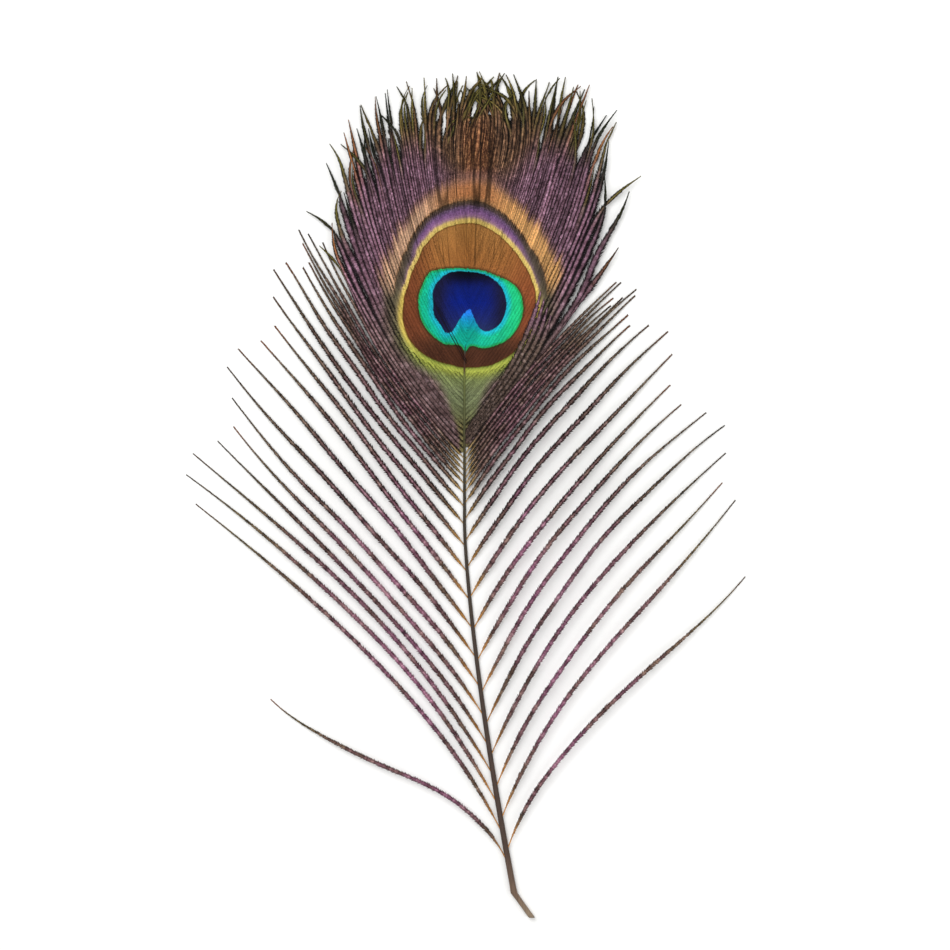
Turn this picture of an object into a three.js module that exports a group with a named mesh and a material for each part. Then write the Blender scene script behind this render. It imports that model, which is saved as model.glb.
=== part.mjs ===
// A peacock train feather that lies flat on a table, coloured face up: a tapering shaft with a bent
// cut end, a close-set vane on each side of the eye, and loose barbs along the lower shaft.
// Millimetres. The layout's datum is the middle of the eye on the table: +X to the right-hand barbs,
// +Y to the crown, +Z up. The finished group is moved so that its box stands centred on the origin.
import * as THREE from "three";

// Shaft. Heights along Y are called stations.
const TIP_STATION = 25.7; // where the shaft runs out, above the heart of the eye
const BEND_STATION = -195.5; // where the quill is kinked
const CUT_STATION = -203.6; // the cut end of the quill
const KINK_SLOPE = 0.72; // sideways run of the kinked end for each millimetre down
const AXIS_X = -1.85; // the straight stretch below the eye
const BOW_STATION = -74.2; // below this the shaft bows to the right
const BOW_LENGTH = 114;
const BOW_REACH = 15;
const BOW_POWER = 1.4;
const LEAN_STATION = -22; // above this the shaft leans to the right, up through the eye
const LEAN_REACH = 1.55;
const TIP_HALF_WIDTH = 0.2;
const BUTT_HALF_WIDTH = 1.08;
const SHAFT_TAPER = 1.2;
const SHAFT_DEPTH = 1.1; // depth over width
const SHAFT_STEPS = 30;
const SHAFT_SIDES = 8;

const GAP = 0.3; // clearance between neighbouring solids

// Vanes: a family of barbs counted by u, from 0 on the shaft's own line to 1 on the outermost.
const VANE_FOOT = -46.2; // station where the outermost close-set barb leaves the shaft
const VANE_CROWDING = 1.6;
const CROWN = { x: 5.9, y: 75.9 }; // tip of the barb that carries on the shaft's line
const VANE_ROOT_ANGLE = 46;
const VANE_TIP_LEAN = 5; // the shaft's line leans to the right at the crown
const VANE_TIP_SPREAD = 19;
const VANE_ROWS = 12;
const VANE_COLUMNS = 14;
const VANE_EDGE = 0.9;
const VANE_RISE = 1.3;

// Loose barbs. g runs from 0 at the uppermost root to 1 at the lowest.
const LOOSE_BARBS = 20;
const LOOSE_STEPS = 12;
const LOOSE_SIDES = 6;
const LOOSE_ROOT_HALF = 0.3;
const LOOSE_HALF = { first: 0.42, growth: 0.2 };
const LOOSE_TIP_HALF = 0.16;
const LOOSE_FLATNESS = 0.75; // height over width
const LOOSE_ARCH = 3.2;
const CLOSE_SPACING = 2;
const LENGTH_WANDER = 5;
const BEARING_WANDER = 0.9;
const TIP_WANDER = 9;
const HANDLE = 0.35; // length of a barb's Bezier handles over its chord

const LEFT = {
  name: "left",
  sign: -1,
  crownReach: 54.7,
  crownDrop: 42.9,
  crownPower: 2.4,
  looseTop: -51.2,
  looseSpacing: { growth: 7.5, from: 3, to: 11 },
  looseLength: { first: 88, growth: 64, power: 1, lowest: 92 },
  bearing: { first: 33, growth: 11, power: 0.6, lowest: 56 },
  rootAngle: { first: 44, growth: -18, power: 1 },
  tipAngle: { first: 24, growth: 24, power: 0.5 },
};
const RIGHT = {
  name: "right",
  sign: 1,
  crownReach: 46,
  crownDrop: 41.2,
  crownPower: 3.6,
  looseTop: -49.8,
  looseSpacing: { growth: 8.4, from: 5, to: 12 },
  looseLength: { first: 70, growth: 66, power: 0.75, lowest: 118 },
  bearing: { first: 41.5, growth: -5, power: 1, lowest: 41 },
  rootAngle: { first: 36, growth: -17, power: 1 },
  tipAngle: { first: 49, growth: -2, power: 1 },
};

const shaftMaterial = new THREE.MeshStandardMaterial({ color: 0x4d3b2e, roughness: 0.5, metalness: 0 });
const vaneMaterial = new THREE.MeshStandardMaterial({ color: 0x6e5a34, roughness: 0.45, metalness: 0.3 });
const barbMaterial = new THREE.MeshStandardMaterial({ color: 0x5c3f4a, roughness: 0.5, metalness: 0.3 });

const radians = THREE.MathUtils.degToRad;

// Middle line of the shaft at a station.
function axisX(station) {
  const bowed = Math.max(0, BOW_STATION - Math.max(station, BEND_STATION)) / BOW_LENGTH;
  const kinked = Math.max(0, BEND_STATION - station);
  const leaning = THREE.MathUtils.smoothstep(station, LEAN_STATION, 0);
  return AXIS_X + BOW_REACH * bowed ** BOW_POWER + KINK_SLOPE * kinked + LEAN_REACH * leaning;
}

function shaftHalfWidth(station) {
  const below = (TIP_STATION - station) / (TIP_STATION - CUT_STATION);
  return TIP_HALF_WIDTH + (BUTT_HALF_WIDTH - TIP_HALF_WIDTH) * Math.max(0, below) ** SHAFT_TAPER;
}

// One closed solid from rings of points. Each end ring is closed by a strip from side to side.
function closedRings(rings) {
  const size = rings[0].length;
  const positions = rings.flat().flatMap((p) => [p.x, p.y, p.z]);
  const faces = [];
  for (let r = 0; r + 1 < rings.length; r += 1) {
    for (let k = 0; k < size; k += 1) {
      const a = r * size + k;
      const b = r * size + ((k + 1) % size);
      faces.push(a, a + size, b, b, a + size, b + size);
    }
  }
  const last = (rings.length - 1) * size;
  for (let k = 0; k + 1 < size / 2; k += 1) {
    const across = size - 2 - k;
    faces.push(k, k + 1, across, k, across, across + 1);
    faces.push(last + k, last + across, last + k + 1, last + k, last + across + 1, last + across);
  }
  const geometry = new THREE.BufferGeometry();
  geometry.setAttribute("position", new THREE.Float32BufferAttribute(positions, 3));
  geometry.setIndex(faces);
  geometry.computeVertexNormals();
  return geometry;
}

// An upright ring round a point of a path: a polygon with a flat top and a flat underside.
function ring(centre, along, halfWidth, halfHeight, sides) {
  const across = new THREE.Vector3(along.y, -along.x, 0).normalize();
  const flat = Math.cos(Math.PI / sides);
  const points = [];
  for (let k = 0; k < sides; k += 1) {
    const angle = (2 * Math.PI * (k + 0.5)) / sides - Math.PI / 2;
    const rise = (halfHeight * Math.sin(angle)) / flat;
    points.push(centre.clone().addScaledVector(across, halfWidth * Math.cos(angle)).setZ(centre.z + rise));
  }
  return points;
}

function sweep(path, halfWidths, flatness, sides) {
  const rings = path.map((point, i) => {
    const along = path[Math.min(i + 1, path.length - 1)].clone().sub(path[Math.max(i - 1, 0)]);
    return ring(point, along, halfWidths[i], halfWidths[i] * flatness, sides);
  });
  return closedRings(rings);
}

function makeShaft() {
  const stations = [CUT_STATION, (CUT_STATION + BEND_STATION) / 2];
  for (let i = 0; i <= SHAFT_STEPS; i += 1) {
    stations.push(THREE.MathUtils.lerp(BEND_STATION, TIP_STATION, i / SHAFT_STEPS));
  }
  const halfWidths = stations.map(shaftHalfWidth);
  const path = stations.map((s, i) => new THREE.Vector3(axisX(s), s, halfWidths[i] * SHAFT_DEPTH));
  return new THREE.Mesh(sweep(path, halfWidths, SHAFT_DEPTH, SHAFT_SIDES), shaftMaterial);
}

// A barb's line seen from above, from its root to its tip. Angles are from +Y, outwards.
function barbCurve(side, root, tip, rootAngle, tipAngle) {
  const handle = HANDLE * root.distanceTo(tip);
  const leaving = new THREE.Vector2(side.sign * Math.sin(rootAngle), Math.cos(rootAngle));
  const ending = new THREE.Vector2(side.sign * Math.sin(tipAngle), Math.cos(tipAngle));
  return new THREE.CubicBezierCurve(
    root,
    root.clone().addScaledVector(leaving, handle),
    tip.clone().addScaledVector(ending, -handle),
    tip,
  );
}

function vaneCurve(side, u) {
  const station = TIP_STATION - (TIP_STATION - VANE_FOOT) * (1 - (1 - u) ** VANE_CROWDING);
  const spread = Math.sin((u * Math.PI) / 2);
  const rootX = axisX(station) + side.sign * (shaftHalfWidth(station) + GAP);
  const root = new THREE.Vector2(rootX, station);
  const tipX = CROWN.x + side.sign * (GAP / 2 + side.crownReach * spread);
  const tip = new THREE.Vector2(tipX, CROWN.y - side.crownDrop * u ** side.crownPower);
  const tipAngle = side.sign * VANE_TIP_LEAN * (1 - u) + VANE_TIP_SPREAD * Math.sqrt(u);
  return barbCurve(side, root, tip, radians(VANE_ROOT_ANGLE * spread), radians(tipAngle));
}

// A vane is a low closed shape over its flat underside. Each ring is one barb's line, along its
// upper surface from root to tip and back along the table.
function makeVane(side) {
  const rings = [];
  for (let row = 0; row <= VANE_ROWS; row += 1) {
    const u = row / VANE_ROWS;
    const line = vaneCurve(side, u).getPoints(VANE_COLUMNS);
    const above = line.map((p, i) => {
      const t = i / VANE_COLUMNS;
      return new THREE.Vector3(p.x, p.y, VANE_EDGE + VANE_RISE * 4 * t * (1 - t) * u);
    });
    const below = line.map((p) => new THREE.Vector3(p.x, p.y, 0)).reverse();
    const loop = [...above, ...below];
    rings.push(side.sign < 0 ? loop.reverse() : loop);
  }
  return new THREE.Mesh(closedRings(rings), vaneMaterial);
}

// Stations of the loose roots of one side, close together at the top and further apart below.
function looseStations(side) {
  const { growth, from, to } = side.looseSpacing;
  const stations = [side.looseTop];
  for (let i = 1; i < LOOSE_BARBS; i += 1) {
    stations.push(stations[i - 1] - CLOSE_SPACING - growth * THREE.MathUtils.smoothstep(i, from, to));
  }
  return stations;
}

function grown(value, g) {
  return value.first + value.growth * g ** value.power;
}

function looseCurve(side, index, stations) {
  const station = stations[index];
  const g = (station - stations[0]) / (stations.at(-1) - stations[0]);
  const wander = Math.sin(1.3 * index + side.sign);
  const tipWander = Math.sin(0.9 * index + side.sign);
  let length = grown(side.looseLength, g) + LENGTH_WANDER * wander;
  let bearing = radians(grown(side.bearing, g) + BEARING_WANDER * g * wander);
  if (index === LOOSE_BARBS - 1) {
    length = side.looseLength.lowest;
    bearing = radians(side.bearing.lowest);
  }
  const tipAngle = grown(side.tipAngle, g) + TIP_WANDER * g * tipWander;
  const stand = shaftHalfWidth(station) + GAP + LOOSE_ROOT_HALF;
  const root = new THREE.Vector2(axisX(station) + side.sign * stand, station);
  const reach = new THREE.Vector2(side.sign * Math.sin(bearing), Math.cos(bearing));
  const tip = root.clone().addScaledVector(reach, length);
  return barbCurve(side, root, tip, radians(grown(side.rootAngle, g)), radians(tipAngle));
}

// A loose barb is a tapering rope, thin at its root, that arches up off the table and comes down
// again to its tip.
function makeLooseBarb(side, index, stations) {
  const g = (stations[index] - stations[0]) / (stations.at(-1) - stations[0]);
  const fullHalf = LOOSE_HALF.first + LOOSE_HALF.growth * Math.sqrt(g);
  const rootHeight = shaftHalfWidth(stations[index]) * SHAFT_DEPTH;
  const halfWidths = [];
  const line = looseCurve(side, index, stations).getPoints(LOOSE_STEPS);
  const path = line.map((p, i) => {
    const t = i / LOOSE_STEPS;
    const swelling = (fullHalf - LOOSE_ROOT_HALF) * THREE.MathUtils.smoothstep(t, 0, 0.15);
    const tapering = (fullHalf - LOOSE_TIP_HALF) * THREE.MathUtils.smoothstep(t, 0.6, 1);
    const half = LOOSE_ROOT_HALF + swelling - tapering;
    const arch = LOOSE_ARCH * 4 * t * (1 - t) * (1 - t / 2);
    halfWidths.push(half);
    return new THREE.Vector3(p.x, p.y, rootHeight * (1 - t) + arch + half * LOOSE_FLATNESS);
  });
  return new THREE.Mesh(sweep(path, halfWidths, LOOSE_FLATNESS, LOOSE_SIDES), barbMaterial);
}

const feather = new THREE.Group();

const shaft = makeShaft();
shaft.name = "shaft";
feather.add(shaft);

for (const side of [LEFT, RIGHT]) {
  const vane = makeVane(side);
  vane.name = `${side.name}_vane`;
  feather.add(vane);
  const stations = looseStations(side);
  for (let index = 0; index < LOOSE_BARBS; index += 1) {
    const barb = makeLooseBarb(side, index, stations);
    barb.name = `${side.name}_barb_${String(index + 1).padStart(2, "0")}`;
    feather.add(barb);
  }
}

const box = new THREE.Box3().setFromObject(feather);
const middle = box.getCenter(new THREE.Vector3());
feather.position.set(-middle.x, -middle.y, -box.min.z);

export default feather;
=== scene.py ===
"""Looks of a peacock train feather that lies on its back on a pale floor.

The layout repeats part.mjs: millimetres, from the middle of the eye on the table, +Y to the crown.
Barbs and barbules are mesh. Their markings come from distances to outlines drawn below.
"""
import math

import bpy
import numpy as np
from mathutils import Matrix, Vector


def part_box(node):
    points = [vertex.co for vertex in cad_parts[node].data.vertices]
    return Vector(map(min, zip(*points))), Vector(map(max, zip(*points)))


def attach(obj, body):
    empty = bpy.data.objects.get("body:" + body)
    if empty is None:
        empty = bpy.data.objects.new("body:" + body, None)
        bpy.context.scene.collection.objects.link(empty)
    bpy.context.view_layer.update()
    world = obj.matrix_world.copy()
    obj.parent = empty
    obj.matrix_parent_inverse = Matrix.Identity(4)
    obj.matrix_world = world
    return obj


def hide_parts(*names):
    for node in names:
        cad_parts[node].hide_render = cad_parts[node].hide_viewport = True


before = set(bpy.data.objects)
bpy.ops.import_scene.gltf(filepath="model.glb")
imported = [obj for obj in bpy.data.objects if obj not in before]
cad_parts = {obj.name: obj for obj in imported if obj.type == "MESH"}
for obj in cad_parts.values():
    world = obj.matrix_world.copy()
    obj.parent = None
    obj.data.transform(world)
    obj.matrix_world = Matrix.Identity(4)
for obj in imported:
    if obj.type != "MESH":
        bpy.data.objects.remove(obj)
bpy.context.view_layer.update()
random = np.random.default_rng(4127)

# Layout, as in part.mjs.
TIP_STATION, BEND_STATION, CUT_STATION = 25.7, -195.5, -203.6
KINK_SLOPE, AXIS_X = 0.72, -1.85
BOW_STATION, BOW_LENGTH, BOW_REACH, BOW_POWER = -74.2, 114, 15, 1.4
LEAN_STATION, LEAN_REACH = -22, 1.55
TIP_HALF_WIDTH, BUTT_HALF_WIDTH, SHAFT_TAPER, SHAFT_DEPTH = 0.2, 1.08, 1.2, 1.1
GAP = 0.3
VANE_FOOT, VANE_CROWDING = -46.2, 1.6
CROWN_X, CROWN_Y = 5.9, 75.9
VANE_ROOT_ANGLE, VANE_TIP_LEAN, VANE_TIP_SPREAD = 46, 5, 19
LOOSE_BARBS, LOOSE_ROOT_HALF, LOOSE_TIP_HALF = 20, 0.3, 0.16
LOOSE_HALF_FIRST, LOOSE_HALF_GROWTH, LOOSE_FLATNESS, LOOSE_ARCH = 0.42, 0.2, 0.75, 3.2
CLOSE_SPACING, LENGTH_WANDER, BEARING_WANDER, TIP_WANDER, HANDLE = 2, 5, 0.9, 9, 0.35
LEFT = dict(
    name="left", sign=-1, crown_reach=54.7, crown_drop=42.9, crown_power=2.4, loose_top=-51.2,
    spacing=(7.5, 3, 11), length=(88, 64, 1), lowest_length=92, bearing=(33, 11, 0.6),
    lowest_bearing=56, root_angle=(44, -18, 1), tip_angle=(24, 24, 0.5),
)
RIGHT = dict(
    name="right", sign=1, crown_reach=46, crown_drop=41.2, crown_power=3.6, loose_top=-49.8,
    spacing=(8.4, 5, 12), length=(70, 66, 0.75), lowest_length=118, bearing=(41.5, -5, 1),
    lowest_bearing=41, root_angle=(36, -17, 1), tip_angle=(49, -2, 1),
)

# The middle of the eye in the CAD's frame, in millimetres.
VANE_REACH = 48.95  # how far left of it the left vane's solid goes
SHAFT_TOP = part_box("shaft")[1].y * 1000
DATUM = np.array([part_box("left_vane")[0].x * 1000 + VANE_REACH, SHAFT_TOP - TIP_STATION, 0.0])

# Outlines of the markings, drawn as the corners of closed curves.
DISC = [
    (-0.2, 25.4), (7.0, 23.1), (13.1, 17.9), (18.1, 11.1), (20.9, 4.9), (21.7, -0.8), (20.7, -6.6),
    (17.7, -12.9), (13.8, -17.7), (7.3, -21.3), (-0.2, -22.2), (-7.2, -21.3), (-14.2, -18.7),
    (-19.5, -13.7), (-22.0, -7.4), (-22.1, -1.8), (-20.8, 4.1), (-18.4, 10.8), (-16.7, 14.1),
    (-15.4, 17.3), (-9.5, 23.1),
]
PATCH = [
    (-2.3, 10.4), (4.0, 9.7), (10.3, 7.3), (14.7, 4.7), (17.0, 0.7), (17.3, -4.4), (15.4, -9.6),
    (11.3, -13.7), (5.0, -15.8), (0.2, -15.1), (-1.6, -16.9), (-3.4, -15.0), (-8.6, -14.4),
    (-13.3, -11.1), (-16.3, -6.3), (-17.1, -0.8), (-16.0, 4.3), (-14.0, 8.2), (-12.2, 9.6),
    (-7.6, 10.3),
]
HEART = [
    (-0.2, -3.0), (1.3, -6.0), (2.9, -8.9), (5.0, -10.4), (7.4, -9.7), (10.0, -7.6), (11.6, -3.9),
    (11.9, -0.2), (10.6, 3.7), (7.8, 6.8), (4.0, 8.7), (-1.3, 9.4), (-6.5, 9.1), (-10.1, 6.7),
    (-12.1, 3.5), (-12.3, -0.8), (-11.9, -5.1), (-9.6, -8.6), (-7.9, -11.0), (-5.8, -10.3),
    (-4.5, -8.4), (-2.7, -5.4),
]
EYE_MIDDLE = (0.0, 2.0)
BAND_LEAST = 0.05  # width of a band where it has run out
EDGE_JITTER = 0.3  # how far barbs differ in where a marking's edge crosses them

# Strands. Roots stand closer together in the eye than at the vane's foot.
ROOT_SPACING_TOP, ROOT_SPACING_FOOT = 0.95, 1.85
BRIDGE_SPACING = 1.9  # roots between the vane's foot and the first loose barb
ROOT_SPREAD_POWER = 0.6  # how soon the root angle grows away from the shaft's tip
RAMUS_STEP = 0.8
LOWEST = 0.02  # no point is nearer to the floor
STRIP_MARGIN, END_MARGIN = 0.04, 0.002  # round each barb's strip in the bake map
BLADE_START = 0.03  # how far from its ramus's line a barbule starts

# Vanes.
VANE_PITCH = 0.24  # from one barbule to the next
VANE_RAMUS = (0.13, 0.045)  # half width at root and tip
RIDGE = 1.4  # a ramus's height over its half width
BARBULE_LEAST, BARBULE_MOST = 0.5, 2.2
INNER_SHARE = 0.46  # of a vane's barbs, those in its inner piece
SWELL_HEIGHT, SWELL_REACH = 0.95, 24  # how the vane rises away from the shaft
SHEET_CLEARANCE = 0.1  # over the shaft, which shows below the station SHAFT_SHOWS
SHAFT_SHOWS = -16
END_SWAY = 0.5  # how free ends differ from barb to barb: sideways,
END_SHORT, END_SHORT_MOST = 0.07, 0.2  # in share of the length,
CURL_SLIGHT, CURL_STRONG = 4.5, 22  # and in degrees
TUFT_SHARE = 0.36  # the barbs nearest the shaft's line, whose tips come together in a tuft
TUFT_TURN = {"left": (10, 48), "right": (20, 80)}
TUFT_TONE = (0.4, 0.75)

# Loose barbs.
LOOSE_PITCH = 0.17
LOOSE_RAMUS, LOOSE_RIDGE = (0.2, 0.07), 1.3
LOOSE_SWAY = 0.16
LOOSE_ROWS = ((-0.12, 42), (0.4, 33))  # lift and angle of the two rows on each side
ARCH_SHARE, MIDDLE_SHARE = 0.86, 0.8  # of the solid's arch and thickness, to stay inside it
BARE_ROOT = (2.5, 8)  # how far from the root barbules are short, on the first barb and the last
BARE_REACH = 0.2  # their least length there, as a share of the full one
PLUMPNESS = 1.8  # length of barbules over the solid's half width
UPPER_PLUMPNESS = 0.6  # how much longer they are on the uppermost barbs

# Colours.
TONE_HASH = 13.7  # a second random number from a barb's tone
SPECULAR = 0.06
SPECKLE_SCALE, FLECK_SCALE = 0.45, 1.7
NOISE_ROWS = 400.0  # keeps the noises of two barbs apart
TUFT_X, FLAME_X = 4.0, 2.5  # middles of the crown's tuft and of the orange below it
FAN_SPREAD = 0.012

# Barbs out of their place: root, tip, angles from +Y at root and tip, barbule length, tone.
# Every other barb's tone is between 0 and 1.
DARK_STRAY, MAUVE_STRAY = 3.0, 2.0
STRAY_RAMUS, STRAY_LIFT, STRAY_BARBULE_ANGLE = (0.12, 0.06), 0.35, 36
STRAYS = {
    "left_inner": [
        ((-1.2, -21.0), (-12.6, 0.6), -30, -26, 0.22, DARK_STRAY),
        ((-1.2, -20.0), (-10.4, -2.4), -28, -30, 0.18, DARK_STRAY),
    ],
    "right_outer": [
        ((-1.4, -43.8 - 1.2 * i), (23.3 + 1.1 * i, 2.8 - 2.7 * i), 36, 13, 1.6, MAUVE_STRAY)
        for i in range(4)
    ],
}


def smoothstep(value, low, high):
    t = np.clip((value - low) / (high - low), 0, 1)
    return t * t * (3 - 2 * t)


def mix(a, b, t):
    return a + (b - a) * t


def axis_x(station):
    bowed = np.maximum(0, BOW_STATION - np.maximum(station, BEND_STATION)) / BOW_LENGTH
    kinked = np.maximum(0, BEND_STATION - station)
    leaning = smoothstep(station, LEAN_STATION, 0)
    return AXIS_X + BOW_REACH * bowed**BOW_POWER + KINK_SLOPE * kinked + LEAN_REACH * leaning


def shaft_half(station):
    below = np.maximum(0, (TIP_STATION - station) / (TIP_STATION - CUT_STATION))
    return TIP_HALF_WIDTH + (BUTT_HALF_WIDTH - TIP_HALF_WIDTH) * below**SHAFT_TAPER


def heading(angle, sign):
    return np.array([sign * math.sin(angle), math.cos(angle)])


def barb_line(sign, root, tip, root_angle, tip_angle, count=160):
    """A barb seen from above. Angles are in degrees from +Y, outwards."""
    root, tip = np.array(root, float), np.array(tip, float)
    handle = HANDLE * np.linalg.norm(tip - root)
    a = root + handle * heading(math.radians(root_angle), sign)
    b = tip - handle * heading(math.radians(tip_angle), sign)
    t = np.linspace(0, 1, count)[:, None]
    return (1 - t) ** 3 * root + 3 * (1 - t) ** 2 * t * a + 3 * (1 - t) * t * t * b + t**3 * tip


def vane_line(side, u):
    station = TIP_STATION - (TIP_STATION - VANE_FOOT) * (1 - (1 - u) ** VANE_CROWDING)
    spread = math.sin(u * math.pi / 2)
    stand = 0.6 * shaft_half(station) * smoothstep(-station, 12, 24) + 0.02
    tip_x = CROWN_X + side["sign"] * (GAP / 2 + side["crown_reach"] * spread)
    tip_y = CROWN_Y - side["crown_drop"] * u ** side["crown_power"]
    tip_angle = side["sign"] * VANE_TIP_LEAN * (1 - u) + VANE_TIP_SPREAD * math.sqrt(u)
    root = (axis_x(station) + side["sign"] * stand, station)
    root_angle = VANE_ROOT_ANGLE * spread**ROOT_SPREAD_POWER
    return barb_line(side["sign"], root, (tip_x, tip_y), root_angle, tip_angle)


def loose_stations(side):
    growth, low, high = side["spacing"]
    stations = [side["loose_top"]]
    for i in range(1, LOOSE_BARBS):
        stations.append(stations[-1] - CLOSE_SPACING - growth * smoothstep(i, low, high))
    return stations


def grown(value, g):
    return value[0] + value[1] * g ** value[2]


def loose_line(side, index, stations):
    station = stations[index]
    g = (station - stations[0]) / (stations[-1] - stations[0])
    wander = math.sin(1.3 * index + side["sign"])
    length = grown(side["length"], g) + LENGTH_WANDER * wander
    bearing = grown(side["bearing"], g) + BEARING_WANDER * g * wander
    if index == LOOSE_BARBS - 1:
        length, bearing = side["lowest_length"], side["lowest_bearing"]
    tip_angle = grown(side["tip_angle"], g) + TIP_WANDER * g * math.sin(0.9 * index + side["sign"])
    root_x = axis_x(station) + side["sign"] * (shaft_half(station) + GAP + LOOSE_ROOT_HALF)
    reach = heading(math.radians(bearing), side["sign"])
    tip = np.array([root_x, station]) + length * reach
    root = (axis_x(station) + side["sign"] * 0.7 * shaft_half(station), station - 0.8)
    return barb_line(side["sign"], root, tip, grown(side["root_angle"], g), tip_angle), g


def even(line, step):
    """The line's points at even distances, and each one's distance from the root."""
    gone = np.concatenate([[0], np.cumsum(np.linalg.norm(np.diff(line[:, :2], axis=0), axis=1))])
    count = max(4, int(gone[-1] / step) + 1)
    at = np.linspace(0, gone[-1], count)
    return np.stack([np.interp(at, gone, column) for column in line.T], axis=1), at


def curled(line, start, turn):
    """Turns the line's end by an angle in degrees, growing from the share start to the tip."""
    steps = np.diff(line, axis=0)
    share = np.linspace(0, 1, len(steps))
    angle = np.radians(turn) * smoothstep(share, start, 1.0)
    c, s = np.cos(angle), np.sin(angle)
    turned = np.stack([c * steps[:, 0] + s * steps[:, 1], c * steps[:, 1] - s * steps[:, 0]], axis=1)
    return np.concatenate([line[:1], line[:1] + np.cumsum(turned, axis=0)])


class Strands:
    """Collects barbs, each a three-sided ramus with barbules on it, and makes one mesh of them."""

    def __init__(self, count):
        self.count = count
        self.added = 0
        self.points, self.faces, self.maps, self.facts = [], [], [], []
        self.size = 0

    def _put(self, points, faces, across, share, rib, tone):
        """across and share are a point's place in the barb's own strip of the bake map."""
        self.points.append(points)
        self.faces.append(faces + self.size)
        column = (self.added + mix(STRIP_MARGIN, 1 - STRIP_MARGIN, across)) / self.count
        self.maps.append(np.stack([column, mix(END_MARGIN, 1 - END_MARGIN, share)], axis=1))
        self.facts.append(np.stack([share, rib, np.full(len(points), tone)], axis=1))
        self.size += len(points)

    def barb(self, path, reached, half, height, barbules, tone):
        """path is (n, 3) points at the distances reached; half and height are the ramus's at each."""
        total = reached[-1]
        along = np.gradient(path, axis=0)
        along /= np.linalg.norm(along, axis=1)[:, None]
        flat = np.stack([along[:, 1], -along[:, 0], np.zeros(len(path))], axis=1)
        flat /= np.linalg.norm(flat, axis=1)[:, None]
        self._ramus(path, flat, half, height, reached / total, tone)
        for blade in barbules:
            self._blades(path, along, flat, reached, tone, **blade)
        self.added += 1

    def _ramus(self, path, flat, half, height, share, tone):
        rings = np.stack([
            path - flat * half[:, None],
            path + flat * half[:, None],
            path + np.array([0, 0, 1.0]) * height[:, None],
        ], axis=1)
        n = len(path)
        faces = [(0, 2, 1), (3 * n - 3, 3 * n - 2, 3 * n - 1)]
        at = 3 * np.arange(n - 1)
        for k in range(3):
            a, b = at + k, at + (k + 1) % 3
            faces = np.concatenate([faces, np.stack([a, b, b + 3], 1), np.stack([a, b + 3, a + 3], 1)])
        across = np.tile([0.42, 0.58, 0.5], n)  # the ridge is in the middle of the strip
        self._put(rings.reshape(-1, 3), faces, across, np.repeat(share, 3), np.zeros(3 * n), tone)

    def _blades(self, path, along, flat, reached, tone, pitch, sign, angle, length, lift, width=1.0,
                wild=0.12):
        """Barbules on one side, each four points: two at the ramus, the tip, and a bowed edge.

        length, angle and lift are functions of the distance along the barb and of its share. wild is
        how much the barbules differ. The two sides' barbules are half a pitch apart.
        """
        total = reached[-1]
        at = np.arange(pitch * (0.5 + 0.25 * sign), total - 0.3 * pitch, pitch)
        at = at + random.uniform(-0.15, 0.15, len(at)) * pitch
        share = np.clip(at / total, 0, 1)
        at = share * total

        def sample(values):
            return np.stack([np.interp(at, reached, column) for column in values.T], axis=1)

        base, t, f = sample(path), sample(along), sample(flat) * sign
        reach = length(at, share) * random.uniform(1 - wild, 1 + wild, len(at))
        lean = np.radians(angle(at, share) + random.uniform(-50, 50, len(at)) * wild)
        rise = lift(at, share) + random.uniform(-0.3, 0.3, len(at)) * wild
        forward, outward = np.cos(lean)[:, None], np.sin(lean)[:, None]
        up = np.array([0, 0, 1.0]) * rise[:, None]
        tip = base + (t * forward + f * outward + up) * reach[:, None]
        wide = 0.5 * pitch * width
        low = base - t * wide + f * BLADE_START
        high = base + t * wide + f * BLADE_START
        bow = low + (t * forward * 0.7 + f * outward * 1.25 + up) * reach[:, None] * 0.5
        points = np.stack([low, high, tip, bow], axis=1).reshape(-1, 3)
        k = 4 * np.arange(len(at))
        if sign > 0:
            faces = np.concatenate([np.stack([k, k + 3, k + 1], 1), np.stack([k + 1, k + 3, k + 2], 1)])
        else:
            faces = np.concatenate([np.stack([k, k + 1, k + 3], 1), np.stack([k + 1, k + 2, k + 3], 1)])
        side_across = 0.5 + sign * np.array([0.09, 0.09, 0.5, 0.3])
        rib = np.array([0.0, 0.0, 1.0, 0.55])
        tip_share = np.clip(share + forward[:, 0] * reach / total, 0, 1)
        shares = np.stack([
            np.clip(share - wide / total, 0, 1), np.clip(share + wide / total, 0, 1),
            tip_share, (share + tip_share) / 2,
        ], axis=1).reshape(-1)
        self._put(points, faces, np.tile(side_across, len(at)), shares, np.tile(rib, len(at)), tone)

    def mesh(self, name):
        points = np.concatenate(self.points)
        points[:, 2] = np.maximum(points[:, 2], LOWEST)
        return make_mesh(name, points, np.concatenate(self.faces), np.concatenate(self.maps),
                         np.concatenate(self.facts))


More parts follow.
